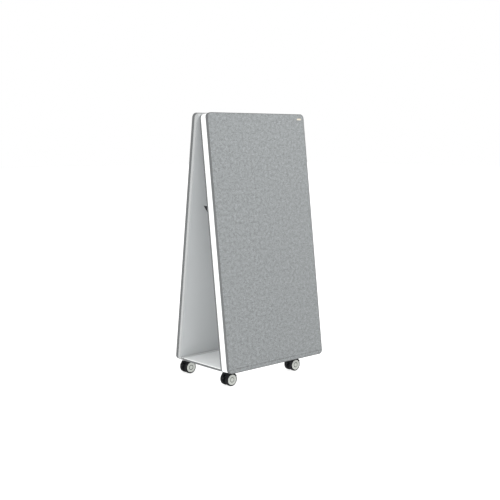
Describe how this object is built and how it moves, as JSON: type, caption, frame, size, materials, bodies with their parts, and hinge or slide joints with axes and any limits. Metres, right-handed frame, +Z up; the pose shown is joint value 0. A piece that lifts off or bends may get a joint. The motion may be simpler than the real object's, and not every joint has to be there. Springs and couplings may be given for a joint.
{
  "type": "mobile partition wall",
  "caption": "Mobile partition: two tall fabric boards lean together as a narrow A on a low shelf with swivelling twin-wheel casters.",
  "frame": {"origin": "on the floor, in the middle of the footprint", "axes": "+X along the width, -Y towards the front leaf, +Z up"},
  "size_m": [0.901, 0.584, 1.8268],
  "materials": {
    "fabric": "heathered woven felt, mid grey",
    "edge_trim": "dark grey extruded edging",
    "core": "pressed fibre core",
    "back_sheet": "pale powder coat",
    "hooks": "grey powder coat",
    "tag": "plain sand-coloured tab",
    "white_frame": "smooth white powder coat",
    "light_frame": "light grey powder coat",
    "grey_band": "grey edge band",
    "white_panel": "white laminated board, semi-gloss",
    "shelf": "white laminated board",
    "steel": "zinc plated",
    "beam": "light grey powder coat",
    "black_metal": "black powder coat",
    "caster_black": "moulded black plastic",
    "caster_grey": "moulded light grey plastic",
    "tyre": "dark soft tread"
  },
  "bodies": {
    "trolley": {"base_shelf": "shelf", "caster_plates": "steel", "caster_screws": "steel", "caster_stems": "steel", "front_frame_bottom_rail": "white_frame", "front_frame_corner_blocks": "white_frame", "front_frame_left_stile": "white_frame", "front_frame_right_stile": "white_frame", "front_frame_top_rail": "white_frame", "front_hook_rails": "steel", "front_inner_edge_band": "grey_band", "front_inner_panel": "white_panel", "rear_beam": "beam", "rear_frame_bottom_rail": "light_frame", "rear_frame_corner_blocks": "light_frame", "rear_frame_left_stile": "light_frame", "rear_frame_right_stile": "light_frame", "rear_frame_top_rail": "light_frame", "rear_hook_rails": "steel", "rear_inner_edge_band": "light_frame", "rear_inner_panel": "white_panel", "shelf_edge_bands": "grey_band", "side_brackets": "black_metal", "top_ties": "beam"},
    "front_board": {"front_board_back_sheet": "back_sheet", "front_board_core": "core", "front_board_edge_trim": "edge_trim", "front_board_fabric_cover": "fabric", "front_board_hooks": "hooks", "front_board_tag": "tag"},
    "rear_board": {"rear_board_back_sheet": "back_sheet", "rear_board_core": "core", "rear_board_edge_trim": "edge_trim", "rear_board_fabric_cover": "fabric", "rear_board_hooks": "hooks"},
    "front_left_swivel": {"caster_front_left_housing": "caster_black"},
    "front_left_brake": {"caster_front_left_brake": "caster_black"},
    "front_left_wheel_set": {"caster_front_left_axle": "steel", "caster_front_left_wheels": "caster_black", "caster_front_left_tyres": "tyre", "caster_front_left_caps": "caster_grey"},
    "front_right_swivel": {"caster_front_right_housing": "caster_black"},
    "front_right_brake": {"caster_front_right_brake": "caster_black"},
    "front_right_wheel_set": {"caster_front_right_axle": "steel", "caster_front_right_wheels": "caster_black", "caster_front_right_tyres": "tyre", "caster_front_right_caps": "caster_grey"},
    "rear_left_swivel": {"caster_rear_left_housing": "caster_black"},
    "rear_left_brake": {"caster_rear_left_brake": "caster_black"},
    "rear_left_wheel_set": {"caster_rear_left_axle": "steel", "caster_rear_left_wheels": "caster_black", "caster_rear_left_tyres": "tyre", "caster_rear_left_caps": "caster_grey"},
    "rear_right_swivel": {"caster_rear_right_housing": "caster_black"},
    "rear_right_brake": {"caster_rear_right_brake": "caster_black"},
    "rear_right_wheel_set": {"caster_rear_right_axle": "steel", "caster_rear_right_wheels": "caster_black", "caster_rear_right_tyres": "tyre", "caster_rear_right_caps": "caster_grey"}
  },
  "joints": [
    {"name": "front_board_lift", "type": "slide", "parent": "trolley", "child": "front_board", "axis": [0, 0.1229, 0.9924], "range_m": [0, 0.025]},
    {"name": "rear_board_lift", "type": "slide", "parent": "trolley", "child": "rear_board", "axis": [0, -0.1229, 0.9924], "range_m": [0, 0.025]},
    {"name": "front_left_swivel", "type": "hinge", "parent": "trolley", "child": "front_left_swivel", "pos_m": [-0.361, -0.222, 0.097], "axis": [0, 0, 1], "continuous": true},
    {"name": "front_left_roll", "type": "hinge", "parent": "front_left_swivel", "child": "front_left_wheel_set", "pos_m": [-0.395, -0.222, 0.044], "axis": [0, 1, 0], "continuous": true},
    {"name": "front_left_brake_press", "type": "hinge", "parent": "front_left_swivel", "child": "front_left_brake", "pos_m": [-0.421, -0.222, 0.059], "axis": [0, -1, 0], "range_deg": [0, 16]},
    {"name": "front_right_swivel", "type": "hinge", "parent": "trolley", "child": "front_right_swivel", "pos_m": [0.241, -0.222, 0.097], "axis": [0, 0, 1], "continuous": true},
    {"name": "front_right_roll", "type": "hinge", "parent": "front_right_swivel", "child": "front_right_wheel_set", "pos_m": [0.207, -0.222, 0.044], "axis": [0, 1, 0], "continuous": true},
    {"name": "front_right_brake_press", "type": "hinge", "parent": "front_right_swivel", "child": "front_right_brake", "pos_m": [0.181, -0.222, 0.059], "axis": [0, -1, 0], "range_deg": [0, 16]},
    {"name": "rear_left_swivel", "type": "hinge", "parent": "trolley", "child": "rear_left_swivel", "pos_m": [-0.361, 0.222, 0.097], "axis": [0, 0, 1], "continuous": true},
    {"name": "rear_left_roll", "type": "hinge", "parent": "rear_left_swivel", "child": "rear_left_wheel_set", "pos_m": [-0.395, 0.222, 0.044], "axis": [0, 1, 0], "continuous": true},
    {"name": "rear_left_brake_press", "type": "hinge", "parent": "rear_left_swivel", "child": "rear_left_brake", "pos_m": [-0.421, 0.222, 0.059], "axis": [0, -1, 0], "range_deg": [0, 16]},
    {"name": "rear_right_swivel", "type": "hinge", "parent": "trolley", "child": "rear_right_swivel", "pos_m": [0.241, 0.222, 0.097], "axis": [0, 0, 1], "continuous": true},
    {"name": "rear_right_roll", "type": "hinge", "parent": "rear_right_swivel", "child": "rear_right_wheel_set", "pos_m": [0.207, 0.222, 0.044], "axis": [0, 1, 0], "continuous": true},
    {"name": "rear_right_brake_press", "type": "hinge", "parent": "rear_right_swivel", "child": "rear_right_brake", "pos_m": [0.181, 0.222, 0.059], "axis": [0, -1, 0], "range_deg": [0, 16]}
  ]
}
